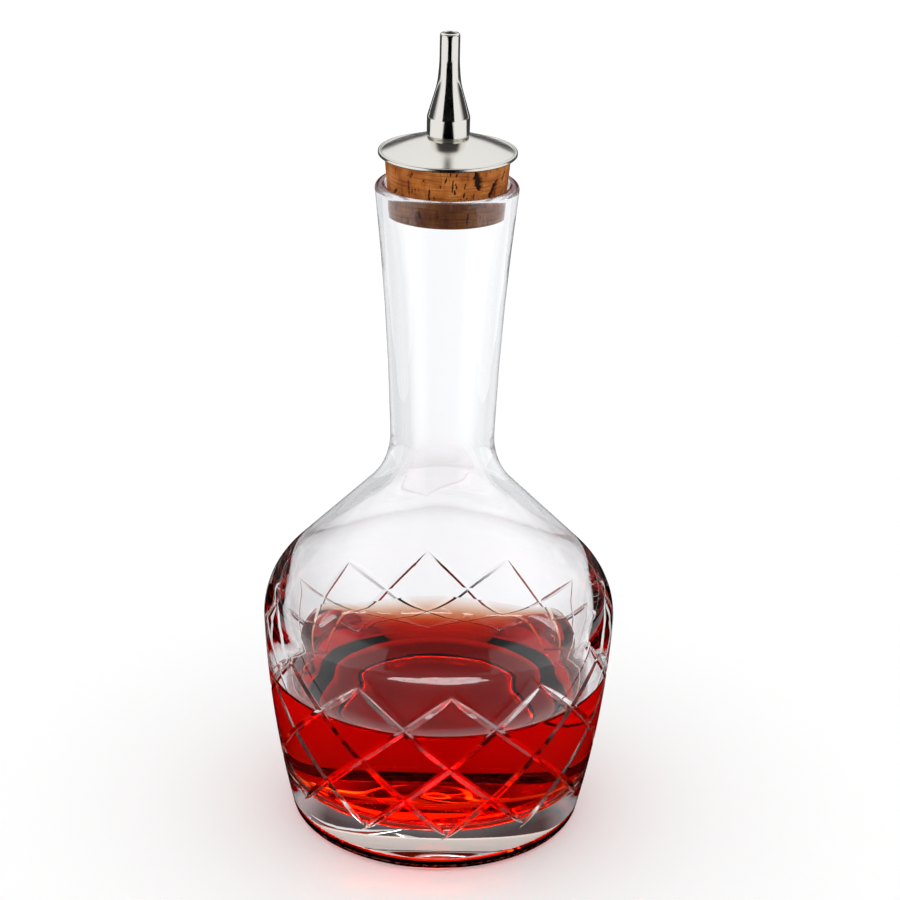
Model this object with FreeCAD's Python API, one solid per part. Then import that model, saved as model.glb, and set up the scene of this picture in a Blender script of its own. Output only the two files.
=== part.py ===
"""A bitters bottle: a heavy cut-glass decanter with a dasher stopper and a little bitters in it.

Every piece is a lathe form about the Z axis, and a lattice of V cuts runs round the glass. The
bottle stands on Z = 0, its axis is X = Y = 0, its front faces -Y, and lengths are in millimetres.
"""
import FreeCAD, Part
import math
import os

# ---- driving dimensions -------------------------------------------------------------------

# Outside of the glass
FOOT_R = 29.0             # where the side would meet the table, before the corner is rounded
FOOT_ROUND = 2.0          # rounding of that corner
WAIST_R = 34.1            # the body's side bends gently here, on its way up and out
WAIST_Z = 22.8
WAIST_ROUND = 215.0
SHOULDER_R = 35.15        # corner between the side and the sloping shoulder, before rounding
SHOULDER_Z = 49.1
SHOULDER_ROUND = 15.5
NECK_R = 9.87             # corner between the shoulder and the neck, before rounding
NECK_Z = 74.8
NECK_ROUND = 15.8
FLARE_R = 10.98           # the neck bends gently outward here, towards the mouth
FLARE_Z = 107.2
FLARE_ROUND = 600.0
MOUTH_R = 13.65           # outside of the mouth
GLASS_H = 131.7           # height of the glass
LIP_ROUND = 1.1           # rounding of both edges of the lip

# Underside: a shallow recess, so that the bottle stands on a ring
RECESS_R = 22.5
RECESS_DEPTH = 0.9
RECESS_SLOPE = 1.6        # width of the recess's sloping edge
RECESS_ROUND = 1.0

# Inside of the glass
FLOOR_CROWN_Z = 8.9       # the thick base is highest in the middle
FLOOR_CROWN_R = 9.0       # edge of the raised middle
FLOOR_Z = 7.3
FLOOR_CROWN_ROUND = 9.0
FLOOR_R = 27.6
FLOOR_ROUND = 11.0
BORE_WAIST_R = 30.7
BORE_WAIST_Z = 28.0
BORE_WAIST_ROUND = 120.0
BORE_SHOULDER_R = 32.5    # the wall is thin round the shoulder and thickens towards the neck
BORE_SHOULDER_Z = 50.4
BORE_SHOULDER_ROUND = 13.5
BORE_NECK_R = 7.2
BORE_NECK_Z = 73.6
BORE_NECK_ROUND = 15.0
BORE_FLARE_R = 8.75       # the bore bends gently outward here, as the outside does
BORE_FLARE_Z = 108.0
BORE_FLARE_ROUND = 300.0
SEAT_Z = 125.5            # above this the bore has the cork's own taper
SEAT_ROUND = 30.0

# Cut lattice: two families of V cuts that lean opposite ways round the body and cross in diamonds
CUTS = 12                 # cuts in each family, a right-leaning and a left-leaning one
CUT_FIRST_DEG = 4.5       # a place where two cuts meet at the top, measured round from the front
LATTICE_TOP_Z = 41.7      # height of these meeting places
DIAMOND_H = 16.2
CUT_START = -0.03         # each cut starts a little above its meeting place, counted in diamonds
CUT_STOP_RIGHT = 1.98     # where the cuts stop that run down to the right, and those to the left
CUT_STOP_LEFT = 2.05
CUT_RUN_OUT = 0.28        # share of a diamond over which a cut runs out at either end
CUT_OVERRUN = 0.03        # how far the wedge goes on, out of the glass, past either end
CUT_DEPTH = 0.5
CUT_HALF_W = 0.75         # half the width of a cut at the surface
WHEEL_CLEAR = 0.3         # how far the wedge that takes a cut away stands out of the glass
CUT_SECTIONS = 16         # sections of that wedge along a cut

# Bitters
LIQUID_Z = 30.0           # level of the drink

# Cork
CORK_BOTTOM_R = 10.9
CORK_BOTTOM_Z = 126.2
CORK_TOP_R = 11.85
CORK_TOP_Z = 137.2
CORK_EDGE = 0.4           # small chamfer round the bottom of the cork

# Cap: a dished disc with an upright lip
CAP_R = 13.0
CAP_LIP_H = 0.8           # height of the disc's edge
CAP_LIP_W = 0.55          # width of the rolled lip
CAP_VALLEY = 0.15         # how far the dish starts below the top of the lip
CAP_RISE = 3.5            # height of the dish's middle above the cork
CAP_SWELL = 0.27          # how far the dish swells above a straight cone
CAP_SWELL_ROUND = 30.0
CAP_LIP_ROUND = 0.25

# Dasher spout
SPOUT_ROOT_R = 3.7
SPOUT_BARREL_R = 4.0
SPOUT_CREASE_Z = 144.4    # the taper starts here
SPOUT_TAPER_R = 2.2       # the taper bends here towards the nozzle
SPOUT_TAPER_Z = 150.6
SPOUT_TAPER_ROUND = 14.0
SPOUT_NOZZLE_Z = 154.4    # above this the nozzle is straight
SPOUT_NOZZLE_R = 1.87
SPOUT_NOZZLE_ROUND = 30.0
SPOUT_TOP_Z = 160.0
SPOUT_TIP_ROUND = 0.5
SPOUT_HOLE_R = 1.1
SPOUT_SEAT = 0.35         # height of the undercut where the barrel meets the cap

# Tube through the cork
TUBE_R = 3.0
TUBE_BORE_R = 2.3
TUBE_BOTTOM_Z = 124.8
TUBE_TOP_Z = 142.6


# ---- outlines -----------------------------------------------------------------------------

AXIS = FreeCAD.Vector(0, 0, 1)


def point(r, z):
    """A point of the half plane through the axis: r out from the axis, z up."""
    return FreeCAD.Vector(r, 0, z)


def rounded_outline(corners):
    """A closed face whose corners are (r, z, rounding), each rounded by a tangent arc."""
    spots = [point(r, z) for r, z, rounding in corners]
    edges = []
    start = None
    first = None
    last_reach = 0
    for i, spot in enumerate(spots):
        rounding = corners[i][2]
        back = (spots[i - 1] - spot).normalize()
        ahead = (spots[(i + 1) % len(spots)] - spot).normalize()
        half = back.getAngle(ahead) / 2
        reach = rounding / math.tan(half)
        if reach + last_reach > spots[i - 1].distanceToPoint(spot):
            raise ValueError("two roundings of an outline overlap")
        last_reach = reach
        arc_start = spot + back * reach
        arc_end = spot + ahead * reach
        if start is not None:
            edges.append(Part.LineSegment(start, arc_start).toShape())
        else:
            first = arc_start
        if rounding > 0:
            toward_centre = (back + ahead).normalize()
            middle = spot + toward_centre * (rounding / math.sin(half) - rounding)
            edges.append(Part.Arc(arc_start, middle, arc_end).toShape())
        start = arc_end
    edges.append(Part.LineSegment(start, first).toShape())
    return Part.Face(Part.Wire(edges))


def turned(face):
    """The solid that a closed outline sweeps in one turn about the axis."""
    return face.revolve(point(0, 0), AXIS, 360)


def cork_radius(z):
    """Radius of the cork's taper at height z."""
    taper = (CORK_TOP_R - CORK_BOTTOM_R) / (CORK_TOP_Z - CORK_BOTTOM_Z)
    return CORK_BOTTOM_R + taper * (z - CORK_BOTTOM_Z)


# ---- glass and drink ----------------------------------------------------------------------

def outside_corners():
    """The glass's outside, from its recess and the ring it stands on up to the mouth."""
    return [
        (RECESS_R - RECESS_SLOPE, RECESS_DEPTH, RECESS_ROUND),
        (RECESS_R, 0, RECESS_ROUND),
        (FOOT_R, 0, FOOT_ROUND),
        (WAIST_R, WAIST_Z, WAIST_ROUND),
        (SHOULDER_R, SHOULDER_Z, SHOULDER_ROUND),
        (NECK_R, NECK_Z, NECK_ROUND),
        (FLARE_R, FLARE_Z, FLARE_ROUND),
        (MOUTH_R, GLASS_H, LIP_ROUND),
    ]


def inside_corners():
    """The glass's inside, from the middle of the thick base up to the seat of the cork."""
    return [
        (FLOOR_CROWN_R, FLOOR_Z, FLOOR_CROWN_ROUND),
        (FLOOR_R, FLOOR_Z, FLOOR_ROUND),
        (BORE_WAIST_R, BORE_WAIST_Z, BORE_WAIST_ROUND),
        (BORE_SHOULDER_R, BORE_SHOULDER_Z, BORE_SHOULDER_ROUND),
        (BORE_NECK_R, BORE_NECK_Z, BORE_NECK_ROUND),
        (BORE_FLARE_R, BORE_FLARE_Z, BORE_FLARE_ROUND),
        (cork_radius(SEAT_Z), SEAT_Z, SEAT_ROUND),
    ]


def glass_outline():
    """The glass in one turn: recess, foot, body, shoulder, neck, lip, and the same way down inside."""
    recess_top = (0, RECESS_DEPTH, 0)
    inner_lip = (cork_radius(GLASS_H), GLASS_H, LIP_ROUND)
    floor_middle = (0, FLOOR_CROWN_Z, 0)
    up_inside = inside_corners()
    corners = [recess_top] + outside_corners() + [inner_lip] + up_inside[::-1] + [floor_middle]
    return rounded_outline(corners)


def outside_radius(outline, z):
    """Radius of the glass's outside at height z."""
    level = Part.makeLine(point(0, z), point(2 * SHOULDER_R, z))
    return outline.common(level).BoundBox.XMax


def place_on_cut(outline, lean, down):
    """A place on the outside, so many diamonds down a cut from its meeting place."""
    z = LATTICE_TOP_Z - DIAMOND_H * down
    r = outside_radius(outline, z)
    angle = math.radians(CUT_FIRST_DEG + lean * down * 360 / CUTS)
    return FreeCAD.Vector(r * math.sin(angle), -r * math.cos(angle), z)


def outward(outline, spot):
    """Unit normal of the glass's outside at a place on it."""
    step = 0.1
    lean = (outside_radius(outline, spot.z + step) - outside_radius(outline, spot.z - step)) / (2 * step)
    level = FreeCAD.Vector(spot.x, spot.y, 0).normalize()
    return (level - FreeCAD.Vector(0, 0, lean)).normalize()


def cut_wedge(outline, lean, stop):
    """The wedge of glass that one cut takes away: lean is 1 where it runs down to the right, else -1."""
    first = CUT_START - CUT_OVERRUN
    last = stop + CUT_OVERRUN
    sections = []
    for k in range(CUT_SECTIONS):
        share = (1 - math.cos(math.pi * k / (CUT_SECTIONS - 1))) / 2
        down = first + (last - first) * share
        run_out = min(down - CUT_START, stop - down, CUT_RUN_OUT) / CUT_RUN_OUT
        depth = CUT_DEPTH * (1 - (1 - run_out) ** 2)
        spot = place_on_cut(outline, lean, down)
        ahead = place_on_cut(outline, lean, down + CUT_OVERRUN)
        along = ahead - place_on_cut(outline, lean, down - CUT_OVERRUN)
        out = outward(outline, spot)
        half = out.cross(along).normalize() * (CUT_HALF_W / CUT_DEPTH * (depth + WHEEL_CLEAR))
        edge = spot - out * depth
        back = spot + out * WHEEL_CLEAR
        sections.append(Part.makePolygon([edge, back + half, back - half, edge]))
    return Part.makeLoft(sections, True)


def make_bottle():
    """The turned glass, with both families of cuts taken out of it."""
    outline = glass_outline()
    glass = turned(outline)
    for lean, stop in ((1, CUT_STOP_RIGHT), (-1, CUT_STOP_LEFT)):
        wedge = cut_wedge(outline, lean, stop)
        glass = glass.cut([wedge.rotated(point(0, 0), AXIS, k * 360 / CUTS) for k in range(CUTS)])
    return glass.Solids[0]


def make_bitters():
    """The drink fills the inside of the glass up to its level."""
    floor_middle = (0, FLOOR_CROWN_Z, 0)
    mouth = (cork_radius(GLASS_H), GLASS_H, 0)
    mouth_middle = (0, GLASS_H, 0)
    inside = rounded_outline([floor_middle] + inside_corners() + [mouth, mouth_middle])
    up_to_level = rounded_outline([(0, 0, 0), (FOOT_R, 0, 0), (SHOULDER_R, LIQUID_Z, 0), (0, LIQUID_Z, 0)])
    return turned(inside.common(up_to_level).Faces[0])


# ---- stopper ------------------------------------------------------------------------------

def make_cork():
    """A tapered cork, bored for the tube."""
    return turned(rounded_outline([
        (TUBE_R, CORK_BOTTOM_Z, 0),
        (CORK_BOTTOM_R - CORK_EDGE, CORK_BOTTOM_Z, 0),
        (cork_radius(CORK_BOTTOM_Z + CORK_EDGE), CORK_BOTTOM_Z + CORK_EDGE, 0),
        (CORK_TOP_R, CORK_TOP_Z, 0),
        (TUBE_R, CORK_TOP_Z, 0),
    ]))


def make_cap():
    """The disc on the cork: a rolled lip, then a dish that rises to the foot of the spout."""
    lip_top = CORK_TOP_Z + CAP_LIP_H
    valley_r = CAP_R - CAP_LIP_W
    valley_z = lip_top - CAP_VALLEY
    middle_z = CORK_TOP_Z + CAP_RISE
    return turned(rounded_outline([
        (TUBE_R, CORK_TOP_Z, 0),
        (CAP_R, CORK_TOP_Z, CAP_LIP_ROUND),
        (CAP_R, lip_top, CAP_LIP_ROUND),
        (valley_r, lip_top, 0),
        (valley_r, valley_z, 0),
        ((valley_r + SPOUT_ROOT_R) / 2, (valley_z + middle_z) / 2 + CAP_SWELL, CAP_SWELL_ROUND),
        (SPOUT_ROOT_R, middle_z, 0),
        (TUBE_R, middle_z, 0),
    ]))


def make_spout():
    """The dasher: a barrel that stands on the cap, then a hollow taper to a fine nozzle."""
    foot_z = CORK_TOP_Z + CAP_RISE
    return turned(rounded_outline([
        (TUBE_R, foot_z, 0),
        (SPOUT_ROOT_R, foot_z, 0),
        (SPOUT_BARREL_R, foot_z + SPOUT_SEAT, 0),
        (SPOUT_BARREL_R, SPOUT_CREASE_Z, 0),
        (SPOUT_TAPER_R, SPOUT_TAPER_Z, SPOUT_TAPER_ROUND),
        (SPOUT_NOZZLE_R, SPOUT_NOZZLE_Z, SPOUT_NOZZLE_ROUND),
        (SPOUT_NOZZLE_R, SPOUT_TOP_Z, SPOUT_TIP_ROUND),
        (SPOUT_HOLE_R, SPOUT_TOP_Z, 0),
        (SPOUT_HOLE_R, SPOUT_NOZZLE_Z, 0),
        (TUBE_BORE_R, TUBE_TOP_Z, 0),
        (TUBE_R, TUBE_TOP_Z, 0),
    ]))


def make_tube():
    """The pouring tube, from just below the cork up into the barrel of the spout."""
    return turned(rounded_outline([
        (TUBE_BORE_R, TUBE_BOTTOM_Z, 0),
        (TUBE_R, TUBE_BOTTOM_Z, 0),
        (TUBE_R, TUBE_TOP_Z, 0),
        (TUBE_BORE_R, TUBE_TOP_Z, 0),
    ]))


# ---- all pieces ---------------------------------------------------------------------------

PIECES = {
    "bottle": make_bottle,
    "bitters": make_bitters,
    "cork": make_cork,
    "cap": make_cap,
    "spout": make_spout,
    "tube": make_tube,
}

os.makedirs("parts", exist_ok=True)
for name, make in PIECES.items():
    shape = make()
    if not shape.isValid() or len(shape.Solids) != 1:
        raise ValueError(name + " is not one valid solid")
    shape.exportStep("parts/" + name + ".step")
    print(name, "volume", round(shape.Volume / 1000, 2), "cm3")
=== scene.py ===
"""The looks of the bitters bottle: cut crystal glass, orange-red bitters, and a cork with a dasher top.

Outlines are in millimetres, as (radius, height, rounding) about the bottle's axis, and meshes are in metres.
"""
import math
import random

import bpy
from mathutils import Matrix, Vector, noise


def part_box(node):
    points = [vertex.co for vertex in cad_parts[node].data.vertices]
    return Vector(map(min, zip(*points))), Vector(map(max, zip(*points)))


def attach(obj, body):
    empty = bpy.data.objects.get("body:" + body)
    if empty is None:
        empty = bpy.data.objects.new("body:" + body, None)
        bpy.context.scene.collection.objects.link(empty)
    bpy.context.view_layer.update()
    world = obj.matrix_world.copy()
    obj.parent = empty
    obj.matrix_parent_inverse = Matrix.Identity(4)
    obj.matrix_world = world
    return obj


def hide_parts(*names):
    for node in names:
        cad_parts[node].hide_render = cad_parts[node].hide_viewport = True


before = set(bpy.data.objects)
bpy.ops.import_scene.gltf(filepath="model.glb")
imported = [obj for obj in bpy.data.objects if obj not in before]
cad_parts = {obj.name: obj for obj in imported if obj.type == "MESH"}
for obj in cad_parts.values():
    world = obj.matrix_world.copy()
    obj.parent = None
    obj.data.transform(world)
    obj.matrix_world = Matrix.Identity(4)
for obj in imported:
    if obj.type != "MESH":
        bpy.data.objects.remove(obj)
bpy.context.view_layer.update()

MM = 0.001
ON_AXIS = 1e-6            # a smaller radius is on the axis
WHITE = (1.0, 1.0, 1.0)


def span(node):
    """A turned node's outer radius, lowest height and highest height, in millimetres."""
    low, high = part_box(node)
    return high.x / MM, low.z / MM, high.z / MM


GLASS_TOP = span("bottle")[2]
BITTERS_LEVEL = span("bitters")[2]
CORK_R, CORK_FOOT, CORK_TOP = span("cork")
CAP_R, CAP_FOOT, CAP_TOP = span("cap")
SPOUT_R, SPOUT_FOOT, SPOUT_TOP = span("spout")
TUBE_R, TUBE_FOOT, TUBE_TOP = span("tube")
CORK_TAPER = 0.0864       # radius that the cork loses with each millimetre down


def cork_radius(z):
    """Radius of the cork's taper at height z."""
    return CORK_R - CORK_TAPER * (CORK_TOP - z)


# ---- outlines -----------------------------------------------------------------------------

LIP_ROUND = 1.1
SEAT_FOOT = 125.5         # where the cork's seat in the neck begins

UNDERSIDE = [(0.0, 0.9, 0.0), (20.9, 0.9, 1.0), (22.5, 0.0, 1.0)]
OUTSIDE = [
    (29.0, 0.0, 2.0),                   # foot
    (34.1, 22.8, 215.0),                # waist
    (35.15, 49.1, 15.5),                # shoulder
    (9.87, 74.8, 15.8),                 # root of the neck
    (10.98, 107.2, 600.0),              # flare
    (13.65, GLASS_TOP, LIP_ROUND),      # lip
]
INSIDE = [
    (0.0, 8.9, 0.0),                    # crown of the floor
    (9.0, 7.3, 9.0),
    (27.6, 7.3, 11.0),                  # edge of the floor
    (30.7, 28.0, 120.0),                # waist
    (32.5, 50.4, 13.5),                 # shoulder
    (7.2, 73.6, 15.0),                  # root of the neck
    (8.75, 108.0, 300.0),               # flare
    (cork_radius(SEAT_FOOT), SEAT_FOOT, 30.0),
    (cork_radius(GLASS_TOP), GLASS_TOP, LIP_ROUND),
]
WALL = INSIDE[2:]         # the part that rises all the way

LONGEST_STRAIGHT = 2.0    # longest step along a straight stretch of an outline


def rounded(corners, turn_deg=4.0, least=4):
    """Points along corners (r, z, rounding), each rounded by a tangent arc. The two ends stay sharp.

    Straight stretches get points too, or the smooth shading of an arc would run on along them."""
    points = []
    for i, (r, z, rounding) in enumerate(corners):
        spot = Vector((r, z))
        if rounding == 0 or i in (0, len(corners) - 1):
            points.append(spot)
            continue
        back = (Vector(corners[i - 1][:2]) - spot).normalized()
        ahead = (Vector(corners[i + 1][:2]) - spot).normalized()
        half = back.angle(ahead) / 2
        centre = spot + (back + ahead).normalized() * (rounding / math.sin(half))
        start = spot + back * (rounding / math.tan(half)) - centre
        sweep = math.pi - 2 * half
        if back.x * ahead.y - back.y * ahead.x > 0:
            sweep = -sweep
        steps = max(least, math.ceil(abs(math.degrees(sweep)) / turn_deg))
        for k in range(steps + 1):
            points.append(centre + Matrix.Rotation(sweep * k / steps, 2) @ start)
    filled = points[:1]
    for low, high in zip(points, points[1:]):
        parts = math.ceil((high - low).length / LONGEST_STRAIGHT)
        filled.extend(low.lerp(high, (k + 1) / parts) for k in range(parts))
    return filled


def grown(path, by):
    """A path moved sideways by a distance, away from the form that lies on its left."""
    moved = []
    for i, spot in enumerate(path):
        along = (path[min(i + 1, len(path) - 1)] - path[max(i - 1, 0)]).normalized()
        if spot.x < ON_AXIS:
            along = Vector((1.0, 0.0))
        moved.append(spot + Vector((along.y, -along.x)) * by)
    return moved


def radius_at(path, z):
    """Radius of a rising path at height z."""
    for low, high in zip(path, path[1:]):
        if low.y <= z <= high.y and high.y > low.y:
            return low.x + (high.x - low.x) * (z - low.y) / (high.y - low.y)
    raise ValueError("the path has no such height")


# ---- meshes -------------------------------------------------------------------------------

SEGMENTS = 192            # facets round a small turned piece
FINE_SEGMENTS = 256       # and round a large one


def new_piece(name, points, faces, material, node, crease_deg=None):
    """A mesh piece from points in millimetres, which stands for a CAD node."""
    mesh = bpy.data.meshes.new(name)
    mesh.from_pydata([Vector(p) * MM for p in points], [], faces)
    mesh.validate()
    mesh.shade_smooth()
    if crease_deg is not None:
        mesh.set_sharp_from_angle(angle=math.radians(crease_deg))
    mesh.materials.append(material)
    piece = bpy.data.objects.new(name, mesh)
    bpy.context.scene.collection.objects.link(piece)
    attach(piece, "root")
    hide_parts(node)
    return piece


def turn(path, angles, points, faces, ring=None):
    """Adds rings of points along a path, from a ring that is there already or from a new one.

    A point on the axis shuts the form. Along a path that rises, faces look outward."""
    count = len(angles)
    for r, z in path:
        if r < ON_AXIS:
            points.append((0.0, 0.0, z))
            fresh = [len(points) - 1] * count
        else:
            fresh = range(len(points), len(points) + count)
            points.extend((r * math.sin(a), -r * math.cos(a), z) for a in angles)
        if ring is not None:
            for k in range(count):
                corners = (ring[k], ring[(k + 1) % count], fresh[(k + 1) % count], fresh[k])
                faces.append(tuple(dict.fromkeys(corners)))
        ring = fresh
    return ring


def turned_piece(name, path, material, node, segments=SEGMENTS, crease_deg=35.0, open_edge=False):
    """A turned form, whose path runs up its outside.

    A path that starts off the axis is joined end to end, unless its edge stays open."""
    angles = [2 * math.pi * k / segments for k in range(segments)]
    points = []
    faces = []
    last = turn(path, angles, points, faces)
    if path[0][0] > ON_AXIS and not open_edge:
        for k in range(segments):
            n = (k + 1) % segments
            faces.append((last[k], last[n], n, k))
    return new_piece(name, points, faces, material, node, crease_deg)


# ---- cut glass ----------------------------------------------------------------------------

LINES = 12                # cut lines leaning each way
LATTICE_PHASE = 4.5       # degrees from the front to a place where two lines meet at the top
LATTICE_TOP = 41.7        # height of the lines' upper ends
LATTICE_ROW = 16.2        # height of one diamond
LATTICE_ROWS = 2          # whole diamonds, one above the other
LATTICE_FOOT = 2.2        # the lattice's grid ends here, after half a diamond more
FIRST_LINE = -1           # the grid runs between these two lines, counted from the one it starts on
LAST_LINE = 5
CUT_DEPTH = 0.5
CUT_HALF_WIDTH = 0.062    # as a share of the lines' spacing
CUT_RUN_OUT = 0.28        # length of a line's tapered end, in diamonds
CUT_ENDS = ((-0.03, 1.98), (-0.03, 2.05))    # where each family's lines start and stop, in diamonds
CUT_KNOTS = (0.12, 0.35, 0.6, 0.85, 1.0, 1.15)    # grid places at a cut, as shares of its half width
FIELD_KNOTS = (0.10, 0.16, 0.23, 0.31, 0.40)      # and between cuts, as shares of the lines' spacing
FACET_DEPTH = 0.1         # a face deeper than this on average, as a share of the full depth, is in a cut
FINE_TURN_DEG = 0.4       # steps of the fine outline that the grid follows
FINE_LEAST = 24
GRID_GAP = 0.2            # room between the lattice's grid and the next ring of points
WET_GAP = 0.3             # room between the wet line and the next ring of points
SAME_KNOT = 1e-9

MENISCUS_RISE = 2.3
MENISCUS_WIDTH = 1.9
WET_LINE = BITTERS_LEVEL + MENISCUS_RISE


def wet_edge():
    """The radius and height at which the drink's edge meets the wall."""
    return Vector((radius_at(rounded(WALL), WET_LINE), WET_LINE))


def lattice_knots():
    """Grid places across one line's spacing, close together at the cut."""
    positive = [CUT_HALF_WIDTH * x for x in CUT_KNOTS] + list(FIELD_KNOTS)
    return [-x for x in reversed(positive)] + [0.0] + positive + [0.5]


def cut_profile(across, along, ends):
    """Depth of a V cut, as a share of the full depth."""
    start, stop = ends
    x = min(along - start, stop - along) / CUT_RUN_OUT
    if x <= 0:
        return 0.0
    reach = 1.0 if x >= 1 else 1 - (1 - x) ** 2
    return max(0.0, reach - abs(across) / CUT_HALF_WIDTH)


def grid_height(g):
    """Height of the lattice's grid, g diamonds below its top."""
    if g <= LATTICE_ROWS:
        return LATTICE_TOP - LATTICE_ROW * g
    last = LATTICE_TOP - LATTICE_ROWS * LATTICE_ROW
    return last + (LATTICE_FOOT - last) * (g - LATTICE_ROWS) * 2


def lattice(points, faces):
    """Adds the belly's outside, on a grid laid along the cut lines, so that each cut is crisp.

    Returns its cut faces, and its top ring and foot ring, each as (angles, points)."""
    knots = lattice_knots()
    per_line = len(knots)
    around = LINES * per_line
    steps = range(FIRST_LINE * per_line, LAST_LINE * per_line + 1)
    body = rounded(OUTSIDE, FINE_TURN_DEG, FINE_LEAST)
    index = {}
    depths = []

    def knot(i):
        return i // per_line + knots[i % per_line]

    def azimuth(s):
        return math.radians(LATTICE_PHASE + 360 / LINES * s)

    def at(i, j):
        return index.get((i % around, j - i))

    def ring(step, line):
        angles = [azimuth(knot(i) + line / 2) for i in range(around)]
        return angles, [index[i, step] for i in range(around)]

    for i in range(around):
        a = knot(i)
        for m in steps:
            b = knot(i + m)
            g = (b - a) / 2
            cut = max(
                cut_profile(a - round(a), g, CUT_ENDS[0]),
                cut_profile(b - round(b), g, CUT_ENDS[1]),
            )
            r = radius_at(body, grid_height(g)) - CUT_DEPTH * cut
            angle = azimuth((a + b) / 2)
            depths.append(cut)
            index[i, m] = len(points)
            points.append((r * math.sin(angle), -r * math.cos(angle), grid_height(g)))

    for i in range(around):
        for m in steps:
            j = i + m
            corners = [at(i, j + 1), at(i + 1, j + 1), at(i + 1, j), at(i, j)]
            whole = None not in corners
            if whole and abs(knots[i % per_line] - knots[j % per_line]) < SAME_KNOT:
                faces.append((corners[0], corners[1], corners[3]))
                faces.append((corners[1], corners[2], corners[3]))
            elif whole and abs(knots[i % per_line] + knots[(j + 1) % per_line]) < SAME_KNOT:
                faces.append((corners[0], corners[1], corners[2]))
                faces.append((corners[0], corners[2], corners[3]))
            else:
                faces.append(tuple(c for c in corners if c is not None))

    cut_faces = [k for k, face in enumerate(faces) if sum(depths[c] for c in face) > FACET_DEPTH * len(face)]
    return cut_faces, ring(steps[0], FIRST_LINE), ring(steps[-1], LAST_LINE)


def make_glass(material, wetted, facets):
    """The bottle: its cut belly, and the rest turned on from the belly's top and foot."""
    points = []
    faces = []
    cut_faces, (top_angles, top_ring), (foot_angles, foot_ring) = lattice(points, faces)
    path = rounded(UNDERSIDE + OUTSIDE + INSIDE[::-1])
    top_z = grid_height(FIRST_LINE / 2)
    above = next(k for k, spot in enumerate(path) if spot.y > top_z + GRID_GAP)
    dry = [spot for spot in path[above:] if spot.y > WET_LINE + WET_GAP]
    wet = [spot for spot in path[above:] if spot.y < WET_LINE - WET_GAP]
    wet_ring = turn(dry + [wet_edge()], top_angles, points, faces, top_ring)
    dry_faces = len(faces)
    turn(wet, top_angles, points, faces, wet_ring)
    wet_faces = range(dry_faces, len(faces))
    below = next(k for k, spot in enumerate(path) if spot.y > LATTICE_FOOT - GRID_GAP)
    under = []
    turn(path[:below][::-1], foot_angles, points, under, foot_ring)
    faces.extend(tuple(reversed(face)) for face in under)
    piece = new_piece("cut_glass", points, faces, material, "bottle")
    for number, (other, marked) in enumerate(((wetted, wet_faces), (facets, cut_faces)), 1):
        piece.data.materials.append(other)
        for k in marked:
            piece.data.polygons[k].material_index = number


# ---- bitters ------------------------------------------------------------------------------

WALL_REACH = 0.08         # how far the drink reaches into the glass, so that no air gap shows
SURFACE_GAP = 0.01        # the drink's colour starts this far below its surface
EDGE_ROOM = 1.0           # the wall's last points stay this far under the edge
MENISCUS_STEPS = (0.05, 0.15, 0.3, 0.5, 0.75, 1.1, 1.6, 2.3, 3.3, 4.8, 7.5, 12.0)    # inward from the wall


def make_bitters(body_material, surface_material):
    """The drink, climbing a little where it wets the glass: its body, and its surface on top."""
    edge = wet_edge()
    wall = [spot for spot in rounded(INSIDE) if spot.y < WET_LINE - EDGE_ROOM] + [edge]
    path = grown(wall, WALL_REACH)
    top = [path[-1]]
    for inward in MENISCUS_STEPS:
        rise = MENISCUS_RISE * math.exp(-inward / MENISCUS_WIDTH)
        top.append(Vector((edge.x - inward, BITTERS_LEVEL + rise)))
    top.append(Vector((0.0, BITTERS_LEVEL)))
    sunk = [spot - Vector((0.0, SURFACE_GAP)) for spot in top]
    for name, outline, material, open_edge in (
        ("bitters_body", path[:-1] + sunk, body_material, False),
        ("bitters_surface", top, surface_material, True),
    ):
        turned_piece(name, outline, material, "bitters", FINE_SEGMENTS, open_edge=open_edge)


# ---- stopper ------------------------------------------------------------------------------

CORK_GAP = 0.06           # air between the cork and the glass
CORK_EDGE = 0.3           # bevel of the cork's lower edge
CORK_AROUND = 720
CORK_ROWS = 72
CORK_CREASE_DEG = 60

# The large fissures, each as degrees from the front, height, half width and half height in millimetres,
# and lean in millimetres across for each millimetre up
FISSURES = (
    (29, 135.0, 0.75, 1.9, -0.25), (48, 132.9, 0.62, 1.7, 0.55), (-38, 133.3, 0.16, 1.5, 0.0),
    (5, 134.3, 0.13, 1.3, 0.05), (-17, 131.6, 0.16, 1.1, -0.1), (63, 134.8, 0.4, 1.0, 0.4),
    (-58, 131.6, 0.4, 0.7, 0.8), (20, 130.6, 0.5, 0.35, 0.0), (19, 128.2, 0.12, 1.2, 0.1),
    (-25, 128.6, 0.2, 0.8, -0.2), (-60, 128.0, 0.18, 1.0, 0.1), (58, 128.6, 0.25, 0.7, 0.3),
    (110, 133.5, 0.6, 1.6, 0.2), (150, 130.5, 0.3, 1.8, -0.2), (-100, 134.0, 0.5, 1.2, -0.3),
    (-140, 131.0, 0.7, 1.1, 0.2), (178, 134.6, 0.3, 1.4, 0.1),
)
SMALL_PITS = 150
PIT_SEED = 11
PIT_WIDTHS = (0.05, 0.16)         # half width
PIT_STRETCH = (1.0, 5.0)          # half height, as a share of the half width
PIT_LEAN = (-0.3, 0.3)
FISSURE_DEPTH = 0.45
FISSURE_WALL = 2.0                # steepness of a fissure's sides
RAGGED_WIDTH = 1.25               # a fissure's width, as a share of its plain one, and how far that strays
RAGGED_STRAY = 0.9
RAGGED_UP = 2.6                   # scales of that straying, for each millimetre up and each degree round
RAGGED_ROUND = 0.15


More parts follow.
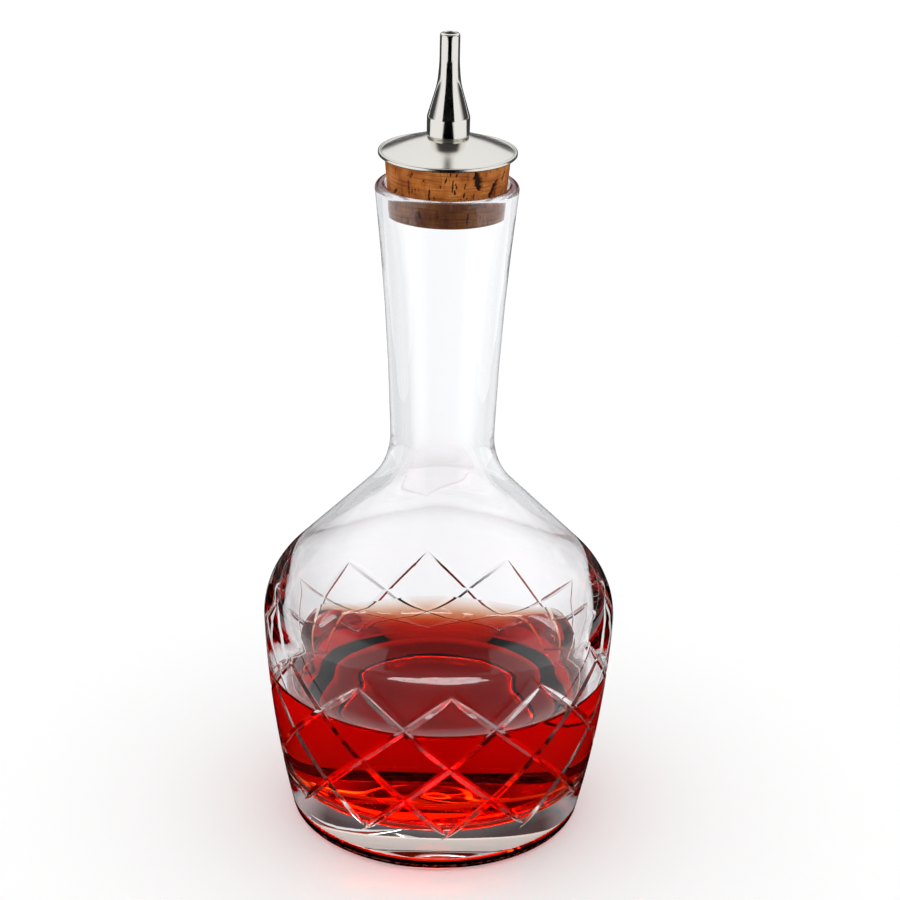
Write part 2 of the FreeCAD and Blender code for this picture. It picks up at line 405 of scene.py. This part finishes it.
def cork_fissures():
    """Where the cork is fissured: the large ones, and small pits all over."""
    chance = random.Random(PIT_SEED)
    small = []
    for _ in range(SMALL_PITS):
        where = chance.uniform(-180, 180)
        height = chance.uniform(CORK_FOOT, CORK_TOP)
        size = chance.uniform(*PIT_WIDTHS)
        small.append((where, height, size, size * chance.uniform(*PIT_STRETCH), chance.uniform(*PIT_LEAN)))
    return FISSURES + tuple(small)


def fissure_at(fissures, degrees, z):
    """How deep the cork is fissured at a place, from 0 to 1."""
    deepest = 0.0
    for where, height, half_width, half_height, lean in fissures:
        down = (z - height) / half_height
        if abs(down) >= 1:
            continue
        turn_off = (degrees - where + 180) % 360 - 180
        across = math.radians(turn_off) * CORK_R - lean * (z - height)
        stray = noise.noise(Vector((where, z * RAGGED_UP, turn_off * RAGGED_ROUND)))
        width = half_width * (RAGGED_WIDTH + RAGGED_STRAY * stray) * math.sqrt(1 - down * down)
        deepest = max(deepest, min(1.0, FISSURE_WALL * (1 - abs(across) / width)))
    return deepest


def make_cork(material):
    """The tapered cork, with its fissures sunk in and marked for the material."""
    path = [Vector((TUBE_R, CORK_FOOT)), Vector((cork_radius(CORK_FOOT) - CORK_EDGE, CORK_FOOT))]
    first = len(path)
    for k in range(CORK_ROWS + 1):
        z = CORK_FOOT + CORK_EDGE + (CORK_TOP - CORK_FOOT - CORK_EDGE) * k / CORK_ROWS
        path.append(Vector((cork_radius(z) - CORK_GAP, z)))
    path.append(Vector((TUBE_R, CORK_TOP)))
    piece = turned_piece("cork_plug", path, material, "cork", CORK_AROUND, CORK_CREASE_DEG)
    fissures = cork_fissures()
    marks = [0.0] * len(piece.data.vertices)
    for ring in range(first, first + CORK_ROWS + 1):
        z = path[ring].y
        near = [fissure for fissure in fissures if abs(z - fissure[1]) < fissure[3]]
        for k in range(CORK_AROUND):
            marks[ring * CORK_AROUND + k] = fissure_at(near, k * 360 / CORK_AROUND, z)
    for vertex, mark in zip(piece.data.vertices, marks):
        inward = FISSURE_DEPTH * MM * mark / max(vertex.co.xy.length, MM)
        vertex.co.x -= vertex.co.x * inward
        vertex.co.y -= vertex.co.y * inward
    depth = piece.data.attributes.new("fissure", "FLOAT", "POINT")
    depth.data.foreach_set("value", marks)


SPOUT_ROOT_R = 3.7        # the barrel's radius where it meets the disc
CAP_LIP_H = 0.8           # height of the disc's edge
CAP_LIP_W = 0.55          # width of its rolled lip
CAP_VALLEY_IN = 0.62      # the valley inside the lip: how far in from the edge, and how far down
CAP_VALLEY_DROP = 0.18
CAP_SWELL = (8.1, 139.55, 30.0)


def make_cap(material):
    """The dished disc with its rolled lip."""
    lip_top = CAP_FOOT + CAP_LIP_H
    path = rounded([
        (TUBE_R, CAP_FOOT, 0.0),
        (CAP_R, CAP_FOOT, 0.25),
        (CAP_R, lip_top, 0.25),
        (CAP_R - CAP_LIP_W, lip_top, 0.1),
        (CAP_R - CAP_VALLEY_IN, lip_top - CAP_VALLEY_DROP, 0.1),
        CAP_SWELL,
        (SPOUT_ROOT_R, CAP_TOP, 0.0),
        (TUBE_R, CAP_TOP, 0.0),
    ])
    turned_piece("cap_disc", path, material, "cap", FINE_SEGMENTS)


SPOUT_ROOT_H = 0.35       # height over which the barrel widens from that radius
BARREL_TOP_Z = 144.4
TAPER_R = 2.2             # the taper's end
TAPER_Z = 150.6
NOZZLE_R = 1.87
NOZZLE_Z = 154.4
HOLE_R = 1.1
TUBE_BORE_R = 2.3


def make_spout(material):
    """The barrel, taper and nozzle of the dasher."""
    path = rounded([
        (TUBE_R, SPOUT_FOOT, 0.0),
        (SPOUT_ROOT_R, SPOUT_FOOT, 0.0),
        (SPOUT_R, SPOUT_FOOT + SPOUT_ROOT_H, 0.2),
        (SPOUT_R, BARREL_TOP_Z, 1.0),
        (TAPER_R, TAPER_Z, 14.0),
        (NOZZLE_R, NOZZLE_Z, 30.0),
        (NOZZLE_R, SPOUT_TOP, 0.5),
        (HOLE_R, SPOUT_TOP, 0.2),
        (HOLE_R, NOZZLE_Z, 0.0),
        (TUBE_BORE_R, TUBE_TOP, 0.0),
        (TUBE_R, TUBE_TOP, 0.0),
    ])
    turned_piece("dasher_spout", path, material, "spout")


def make_tube(material):
    """The end of the pouring tube."""
    path = rounded([
        (TUBE_BORE_R, TUBE_FOOT, 0.0),
        (TUBE_R, TUBE_FOOT, 0.2),
        (TUBE_R, TUBE_TOP, 0.0),
        (TUBE_BORE_R, TUBE_TOP, 0.0),
    ])
    turned_piece("pour_tube", path, material, "tube")


# ---- nodes --------------------------------------------------------------------------------

def new_material(name):
    """A node material and its Principled shader."""
    material = bpy.data.materials.new(name)
    material.use_nodes = True
    return material, material.node_tree, material.node_tree.nodes["Principled BSDF"]


def grey(level):
    """A grey tone."""
    return (level, level, level, 1.0)


def grain(tree, scale, detail=3.0, roughness=0.55):
    """Noise in the object's own space, stretched by a scale per metre along each axis."""
    nodes, links = tree.nodes, tree.links
    coords = nodes.new("ShaderNodeTexCoord")
    stretch = nodes.new("ShaderNodeMapping")
    stretch.inputs["Scale"].default_value = scale
    links.new(coords.outputs["Object"], stretch.inputs["Vector"])
    made = nodes.new("ShaderNodeTexNoise")
    made.inputs["Scale"].default_value = 1.0
    made.inputs["Detail"].default_value = detail
    made.inputs["Roughness"].default_value = roughness
    links.new(stretch.outputs["Vector"], made.inputs["Vector"])
    return made.outputs["Fac"]


def carried(tree, source, low, high, to_low=0.0, to_high=1.0):
    """A value carried from one range to another."""
    made = tree.nodes.new("ShaderNodeMapRange")
    tree.links.new(source, made.inputs["Value"])
    for name, value in (("From Min", low), ("From Max", high), ("To Min", to_low), ("To Max", to_high)):
        made.inputs[name].default_value = value
    return made.outputs["Result"]


def colour_ramp(tree, source, stops):
    """A colour that follows a value, through stops (value, colour)."""
    made = tree.nodes.new("ShaderNodeValToRGB")
    tree.links.new(source, made.inputs["Fac"])
    elements = made.color_ramp.elements
    while len(elements) < len(stops):
        elements.new(0.5)
    for element, (where, colour) in zip(elements, stops):
        element.position = where
        element.color = (*colour, 1.0)
    return made.outputs["Color"]


def ramp(tree, source, levels, tint=WHITE):
    """A tone that follows a value from 0 to 1, through stops (value, level)."""
    return colour_ramp(tree, source, [(where, [level * part for part in tint]) for where, level in levels])


def mixed(tree, factor, a, b, blend="MIX"):
    """Two tones, mixed by a factor. Each of the three is a socket or a plain value."""
    made = tree.nodes.new("ShaderNodeMix")
    made.data_type = "RGBA"
    made.blend_type = blend
    for name, value in (("Factor", factor), ("A", a), ("B", b)):
        if isinstance(value, bpy.types.NodeSocket):
            tree.links.new(value, made.inputs[name])
        else:
            made.inputs[name].default_value = value
    return made.outputs["Result"]


def bumped(tree, shader, source, distance):
    """Fine relief from a value, on the shader's normal."""
    bump = tree.nodes.new("ShaderNodeBump")
    bump.inputs["Distance"].default_value = distance * MM
    bump.inputs["Strength"].default_value = 1.0
    tree.links.new(source, bump.inputs["Height"])
    tree.links.new(bump.outputs["Normal"], shader.inputs["Normal"])


# ---- materials ----------------------------------------------------------------------------

GLASS_REFRACTION = 1.5
BITTERS_REFRACTION = 1.36
FACET_ROUGHNESS = 0.1
BITTERS_COLOUR = (0.975, 0.4, 0.0, 1.0)
BITTERS_DENSITY = 300.0   # per metre

CORK_MOTTLE = ((0.3, (0.30, 0.075, 0.012)), (0.5, (0.45, 0.135, 0.024)), (0.7, (0.60, 0.225, 0.055)))
CORK_LINES = ((0.34, (0.5, 0.42, 0.36)), (0.52, WHITE))
CORK_HAIRS = ((0.30, (0.42, 0.34, 0.28)), (0.42, WHITE))
CORK_LINE_STRENGTH = 0.8
# Near black in the fissures: partly the cork's darker inside, partly painted shade in these recesses
FISSURE_DARK_AND_SHADE = (0.022, 0.009, 0.005, 1.0)
CORK_RELIEF = 0.12

STEEL_COLOUR = (0.86, 0.84, 0.79, 1.0)
STEEL_RELIEF = 0.004
TUBE_COLOUR = (0.93, 0.92, 0.95, 1.0)
SMEARS = (0.3, 0.7)       # the part of the noise that roughness follows


def glass_material(name, refraction, roughness=0.0):
    """Clear glass, with its refraction against what lies on its other side."""
    material, _, shader = new_material(name)
    shader.inputs["Base Color"].default_value = grey(1.0)
    shader.inputs["Roughness"].default_value = roughness
    shader.inputs["IOR"].default_value = refraction
    shader.inputs["Transmission Weight"].default_value = 1.0
    return material


def bitters_material():
    """The drink's colour in depth. It bends no light itself, because the glass and the drink's surface do."""
    material = glass_material("bitters", 1.0)
    nodes, links = material.node_tree.nodes, material.node_tree.links
    absorb = nodes.new("ShaderNodeVolumeAbsorption")
    absorb.inputs["Color"].default_value = BITTERS_COLOUR
    absorb.inputs["Density"].default_value = BITTERS_DENSITY
    links.new(absorb.outputs["Volume"], nodes["Material Output"].inputs["Volume"])
    return material


def cork_material():
    """Cork: mottled orange brown with fine growth lines, and near black in its fissures, partly from its
    darker inside and partly as painted shade in these recesses.
    """
    material, tree, shader = new_material("cork")
    mottle = colour_ramp(tree, grain(tree, (320, 320, 260)), CORK_MOTTLE)
    lines = colour_ramp(tree, grain(tree, (180, 180, 3600), 2.0), CORK_LINES)
    hairs = colour_ramp(tree, grain(tree, (2600, 2600, 240), 2.0), CORK_HAIRS)
    tone = mixed(tree, CORK_LINE_STRENGTH, mottle, lines, "MULTIPLY")
    tone = mixed(tree, CORK_LINE_STRENGTH, tone, hairs, "MULTIPLY")
    fissure = tree.nodes.new("ShaderNodeAttribute")
    fissure.attribute_name = "fissure"
    # Painted shade, with the cork's darker inside, wherever the fissures sink in
    tone = mixed(tree, fissure.outputs["Fac"], tone, FISSURE_DARK_AND_SHADE)
    tree.links.new(tone, shader.inputs["Base Color"])
    shader.inputs["Roughness"].default_value = 0.75
    shader.inputs["Specular IOR Level"].default_value = 0.15
    bumped(tree, shader, grain(tree, (1500, 1500, 1500), 4.0), CORK_RELIEF)
    return material


def metal_material(name, least, most):
    """Steel, a little warm, with faint smears and turning marks, and a least and a most roughness."""
    material, tree, shader = new_material(name)
    shader.inputs["Base Color"].default_value = STEEL_COLOUR
    shader.inputs["Metallic"].default_value = 1.0
    smears = carried(tree, grain(tree, (260, 260, 260), 5.0, 0.65), *SMEARS, least, most)
    tree.links.new(smears, shader.inputs["Roughness"])
    bumped(tree, shader, grain(tree, (900, 900, 2400)), STEEL_RELIEF)
    return material


def tube_material():
    """Milky clear plastic."""
    material, tree, shader = new_material("tube")
    shader.inputs["Base Color"].default_value = TUBE_COLOUR
    shader.inputs["Transmission Weight"].default_value = 0.55
    shader.inputs["IOR"].default_value = 1.45
    smears = carried(tree, grain(tree, (600, 600, 600)), *SMEARS, 0.15, 0.35)
    tree.links.new(smears, shader.inputs["Roughness"])
    return material


# ---- camera -------------------------------------------------------------------------------

CAMERA_AWAY = 0.440
CAMERA_HEIGHT = 0.2625
CAMERA_PITCH, CAMERA_YAW, CAMERA_ROLL = (math.radians(x) for x in (22.79, 0.204, 1.214))
CAMERA_LENS = 97.94
CAMERA_SENSOR = 36.0


def make_camera():
    """The camera, above the bottle's top and looking down at its middle."""
    sin_yaw, cos_yaw = math.sin(CAMERA_YAW), math.cos(CAMERA_YAW)
    sin_roll, cos_roll = math.sin(CAMERA_ROLL), math.cos(CAMERA_ROLL)
    cos_pitch = math.cos(CAMERA_PITCH)
    ahead = Vector((sin_yaw * cos_pitch, cos_yaw * cos_pitch, -math.sin(CAMERA_PITCH)))
    level = Vector((cos_yaw, -sin_yaw, 0.0))
    upright = level.cross(ahead)
    right = level * cos_roll + upright * sin_roll
    up = upright * cos_roll - level * sin_roll
    place = Matrix.Translation((0.0, -CAMERA_AWAY, CAMERA_HEIGHT))
    camera = bpy.data.objects.new("camera", bpy.data.cameras.new("camera"))
    camera.data.sensor_width = CAMERA_SENSOR
    camera.data.lens = CAMERA_LENS
    camera.matrix_world = place @ Matrix((right, up, -ahead)).transposed().to_4x4()
    bpy.context.scene.collection.objects.link(camera)
    bpy.context.scene.camera = camera


# ---- studio -------------------------------------------------------------------------------

# What the glass sees round about, by azimuth in degrees: behind the bottle is 0, and to its right is 90. In
# the world this is light, and on the table it is painted light and shade
RING_LEVELS = (
    (-180, 0.1), (-145, 0.15), (-120, 0.8), (-60, 0.74), (-40, 0.68), (-20, 0.74), (-11, 0.94), (0, 0.98),
    (12, 0.98), (25, 0.88), (45, 0.78), (65, 0.85), (120, 0.85), (145, 0.15), (180, 0.1),
)
GLASS_TINT = (0.975, 0.985, 1.0)
# Where the sky is the one aside and not the one behind
ASIDE = ((-180, 1.0), (-70, 1.0), (-40, 0.0), (40, 0.0), (65, 1.0), (180, 1.0))
# Skies, by the sine of the elevation: two that are seen through the glass, and two that mirrors see
BEHIND_LEVELS = (
    (0.0, 1.0), (0.2, 0.95), (0.3, 0.7), (0.37, 0.08), (0.52, 0.08), (0.57, 0.35), (0.74, 0.9), (1.0, 0.9),
)
ASIDE_LEVELS = ((0.0, 1.0), (0.3, 0.85), (1.0, 0.75))
FRONT_LEVELS = ((0.0, 0.92), (0.4, 0.92), (0.5, 0.05), (1.0, 0.02))
MIRROR_LEVELS = ((0.0, 0.05), (0.22, 0.05), (0.28, 0.86), (1.0, 0.92))
FRONT_END = (-0.3, 0.1)   # how far back a direction points, where the front's sky gives way to the other

TABLE_WHITE = 0.92
FOOT_PAINTED_SHADE = 0.8          # painted shade: the table's level by the bottle's foot, as the glass sees it
FOOT_ENDS = (0.05, 0.085)         # distances from the axis over which that gives way to the ring's levels
TABLE_LIFT = 0.12         # the table's own light, as the camera sees it
SEEN_LIFT = (0.13, 0.13, 0.14, 1.0)    # painted light: the table's glow as the glass sees it, away from the bottle
LIFT_STARTS = (0.03, 0.07)        # distances from the axis over which that sets in, so that nearer the bottle it is left out as painted shade

LYING = 0.0005            # height of a flag that lies on the table
# Each flag's name, centre, size, direction and level
FLAGS = (
    ("table_flag", (0, 0, LYING), (0.4, 0.4), (0, 0, 1), 0.0),
    ("near_flag", (0, -0.45, LYING), (0.48, 0.5), (0, 0, 1), 0.0),
    ("front_flag", (0, -0.7, 0.25), (0.9, 0.5), (0, 1, 0), 0.0),
    ("far_flag", (0, 1.25, LYING), (3.0, 2.1), (0, 0, 1), 0.05),
)
SOFTBOX = ("back_softbox", (0.1, 0.715, 0.602), (0.7, 0.08), (0, -0.77, -0.64), 24.0)


def round_about(tree, x, y, levels, tint=WHITE):
    """A tone that follows the azimuth, through stops (degrees, level)."""
    azimuth = tree.nodes.new("ShaderNodeMath")
    azimuth.operation = "ARCTAN2"
    tree.links.new(x, azimuth.inputs[0])
    tree.links.new(y, azimuth.inputs[1])
    turned = carried(tree, azimuth.outputs[0], -math.pi, math.pi)
    return ramp(tree, turned, [(0.5 + degrees / 360, level) for degrees, level in levels], tint)


def ring_light(tree, x, y):
    """Level of the studio round the bottle as the glass sees it: brightest behind, dark in front. In the
    world it is light, and on the table it is painted light and shade.
    """
    return round_about(tree, x, y, RING_LEVELS, GLASS_TINT)


def plane(name, centre, size, material, facing=(0, 0, 1)):
    """A flat sheet of the stage."""
    half_x, half_y = size[0] / 2, size[1] / 2
    mesh = bpy.data.meshes.new(name)
    corners = [(-half_x, -half_y, 0), (half_x, -half_y, 0), (half_x, half_y, 0), (-half_x, half_y, 0)]
    mesh.from_pydata(corners, [], [(0, 1, 2, 3)])
    mesh.materials.append(material)
    card = bpy.data.objects.new(name, mesh)
    card.rotation_mode = "QUATERNION"
    card.rotation_quaternion = Vector(facing).to_track_quat("Z", "Y")
    card.location = centre
    bpy.context.scene.collection.objects.link(card)
    return card


def floor_material():
    """White table. Away from the bottle, the glass sees it at the level of the studio round about, as painted
    light and shade in its colour and a painted glow. By the bottle's foot, the glass sees a painted shade
    instead.
    """
    material, tree, shader = new_material("floor")
    nodes, links = tree.nodes, tree.links
    shader.inputs["Roughness"].default_value = 1.0
    shader.inputs["Specular IOR Level"].default_value = 0.0
    path = nodes.new("ShaderNodeLightPath")
    place = nodes.new("ShaderNodeNewGeometry")
    parts = nodes.new("ShaderNodeSeparateXYZ")
    links.new(place.outputs["Position"], parts.inputs[0])
    away = nodes.new("ShaderNodeVectorMath")
    away.operation = "LENGTH"
    links.new(place.outputs["Position"], away.inputs[0])
    # Painted light and shade: as the glass sees it, the table's colour follows the studio's levels round
    # about, and by the foot it is a painted shade
    ring = ring_light(tree, parts.outputs["X"], parts.outputs["Y"])
    ring = mixed(tree, carried(tree, away.outputs["Value"], *FOOT_ENDS), grey(FOOT_PAINTED_SHADE), ring)
    tone = mixed(tree, path.outputs["Is Transmission Ray"], grey(TABLE_WHITE), ring)
    links.new(tone, shader.inputs["Base Color"])
    lift = mixed(tree, path.outputs["Is Camera Ray"], grey(0.0), grey(TABLE_LIFT))
    # Painted light: the table's glow for what looks through the glass, left out near the bottle as painted
    # shade under it
    seen = mixed(tree, carried(tree, away.outputs["Value"], *LIFT_STARTS), grey(0.0), SEEN_LIFT)
    lift = mixed(tree, path.outputs["Is Transmission Ray"], lift, seen)
    glow = nodes.new("ShaderNodeEmission")
    links.new(lift, glow.inputs["Color"])
    add = nodes.new("ShaderNodeAddShader")
    links.new(shader.outputs[0], add.inputs[0])
    links.new(glow.outputs[0], add.inputs[1])
    links.new(add.outputs[0], nodes["Material Output"].inputs["Surface"])
    return material


def card_material(name, level, through_glass):
    """An even card, black or lit. Either only mirrors see it, or only what looks through glass."""
    material, tree, shader = new_material(name)
    nodes, links = tree.nodes, tree.links
    nodes.remove(shader)
    glow = nodes.new("ShaderNodeEmission")
    glow.inputs["Strength"].default_value = level
    clear = nodes.new("ShaderNodeBsdfTransparent")
    path = nodes.new("ShaderNodeLightPath")
    mix = nodes.new("ShaderNodeMixShader")
    links.new(path.outputs["Is Transmission Ray"], mix.inputs["Fac"])
    first, second = (clear, glow) if through_glass else (glow, clear)
    links.new(first.outputs[0], mix.inputs[1])
    links.new(second.outputs[0], mix.inputs[2])
    links.new(mix.outputs[0], nodes["Material Output"].inputs["Surface"])
    return material


def hang_card(name, centre, size, facing, level, through_glass=False):
    """A card that shows only in the metal and on the glass, or only through the glass."""
    made = plane(name, centre, size, card_material(name, level, through_glass), facing)
    made.visible_camera = False
    made.visible_shadow = False
    made.visible_diffuse = False


def make_world():
    """Even white light. What is seen through the glass has skies of its own, and so has what mirrors see."""
    world = bpy.data.worlds.new("studio")
    bpy.context.scene.world = world
    world.use_nodes = True
    tree = world.node_tree
    nodes, links = tree.nodes, tree.links
    background = nodes["Background"]
    coords = nodes.new("ShaderNodeTexCoord")
    parts = nodes.new("ShaderNodeSeparateXYZ")
    links.new(coords.outputs["Generated"], parts.inputs[0])
    x, y, z = (parts.outputs[axis] for axis in "XYZ")
    mirrored = mixed(
        tree, carried(tree, y, *FRONT_END),
        ramp(tree, z, FRONT_LEVELS),
        ramp(tree, z, MIRROR_LEVELS),
    )
    sky = mixed(
        tree, round_about(tree, x, y, ASIDE),
        ramp(tree, z, BEHIND_LEVELS),
        ramp(tree, z, ASIDE_LEVELS),
    )
    seen_through = mixed(tree, 1.0, ring_light(tree, x, y), sky, "MULTIPLY")
    path = nodes.new("ShaderNodeLightPath")
    tone = mixed(tree, path.outputs["Is Glossy Ray"], grey(1.0), mirrored)
    tone = mixed(tree, path.outputs["Is Transmission Ray"], tone, seen_through)
    tone = mixed(tree, path.outputs["Is Camera Ray"], tone, grey(1.0))
    links.new(tone, background.inputs["Color"])
    background.inputs["Strength"].default_value = 1.0


def make_stage():
    """Floor, flags, softbox and world."""
    plane("floor", (0, 0.6, 0), (6, 6), floor_material())
    for flag in FLAGS:
        hang_card(*flag)
    hang_card(*SOFTBOX, through_glass=True)
    make_world()


# ---- all together -------------------------------------------------------------------------

DEEP_BOUNCES = 128        # light that the glass traps turns many times before it is out

make_camera()
make_stage()
make_glass(
    glass_material("crystal_glass", GLASS_REFRACTION),
    glass_material("wetted_glass", GLASS_REFRACTION / BITTERS_REFRACTION),
    glass_material("cut_facets", GLASS_REFRACTION, FACET_ROUGHNESS),
)
make_bitters(bitters_material(), glass_material("bitters_surface", BITTERS_REFRACTION))
make_cork(cork_material())
make_cap(metal_material("satin_metal", 0.14, 0.22))
make_spout(metal_material("polished_metal", 0.06, 0.13))
make_tube(tube_material())

scene = bpy.context.scene
scene.view_settings.view_transform = "Standard"
scene.cycles.max_bounces = DEEP_BOUNCES
scene.cycles.transmission_bounces = DEEP_BOUNCES
scene.cycles.glossy_bounces = DEEP_BOUNCES
scene.cycles.diffuse_bounces = 4
scene.cycles.transparent_max_bounces = 12
scene.cycles.blur_glossy = 0.3
